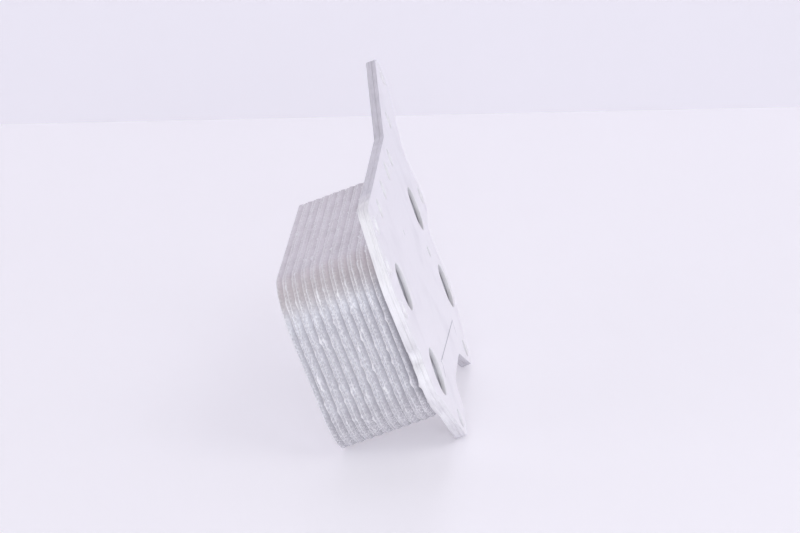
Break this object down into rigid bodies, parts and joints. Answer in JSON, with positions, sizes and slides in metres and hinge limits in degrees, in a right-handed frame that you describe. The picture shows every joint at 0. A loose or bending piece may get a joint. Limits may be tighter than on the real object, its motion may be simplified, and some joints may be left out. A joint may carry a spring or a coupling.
{
  "type": "hydraulic oil cooler",
  "caption": "Brazed stacked-plate oil cooler: nested dished plates on a flat mounting plate with an arm, screw holes, and round oil and coolant ports in its face.",
  "frame": {"origin": "centre of the rectangle of four ports, on the mounting face", "axes": "+X out of the mounting face towards the machine, +Y along the core's long side towards the arm, +Z across the core towards the row of five screw holes"},
  "size_m": [0.0528, 0.2496, 0.1433],
  "materials": {
    "face_sheet": "satin brazed clad sheet",
    "base_plate": "sheared and blanked edge, satin",
    "dish_sheet": "pressed clad sheet, dull after brazing",
    "end_cover": "satin brazed clad sheet",
    "turbulator_sheet": "thin folded sheet"
  },
  "bodies": {
    "root": {"coolant_turbulator_01": "turbulator_sheet", "coolant_turbulator_02": "turbulator_sheet", "coolant_turbulator_03": "turbulator_sheet", "coolant_turbulator_04": "turbulator_sheet", "coolant_turbulator_05": "turbulator_sheet", "coolant_turbulator_06": "turbulator_sheet", "coolant_turbulator_07": "turbulator_sheet", "coolant_turbulator_08": "turbulator_sheet", "coolant_turbulator_09": "turbulator_sheet", "coolant_turbulator_10": "turbulator_sheet", "core_base_plate": "base_plate", "dish_plate_01": "dish_sheet", "dish_plate_02": "dish_sheet", "dish_plate_03": "dish_sheet", "dish_plate_04": "dish_sheet", "dish_plate_05": "dish_sheet", "dish_plate_06": "dish_sheet", "dish_plate_07": "dish_sheet", "dish_plate_08": "dish_sheet", "dish_plate_09": "dish_sheet", "dish_plate_10": "dish_sheet", "dish_plate_11": "dish_sheet", "dish_plate_12": "dish_sheet", "dish_plate_13": "dish_sheet", "dish_plate_14": "dish_sheet", "dish_plate_15": "dish_sheet", "dish_plate_16": "dish_sheet", "dish_plate_17": "dish_sheet", "dish_plate_18": "dish_sheet", "dish_plate_19": "dish_sheet", "dish_plate_20": "dish_sheet", "end_cover_plate": "end_cover", "mounting_base_plate": "base_plate", "mounting_face_sheet": "face_sheet", "oil_turbulator_01": "turbulator_sheet", "oil_turbulator_02": "turbulator_sheet", "oil_turbulator_03": "turbulator_sheet", "oil_turbulator_04": "turbulator_sheet", "oil_turbulator_05": "turbulator_sheet", "oil_turbulator_06": "turbulator_sheet", "oil_turbulator_07": "turbulator_sheet", "oil_turbulator_08": "turbulator_sheet", "oil_turbulator_09": "turbulator_sheet", "oil_turbulator_10": "turbulator_sheet"}
  },
  "joints": []
}
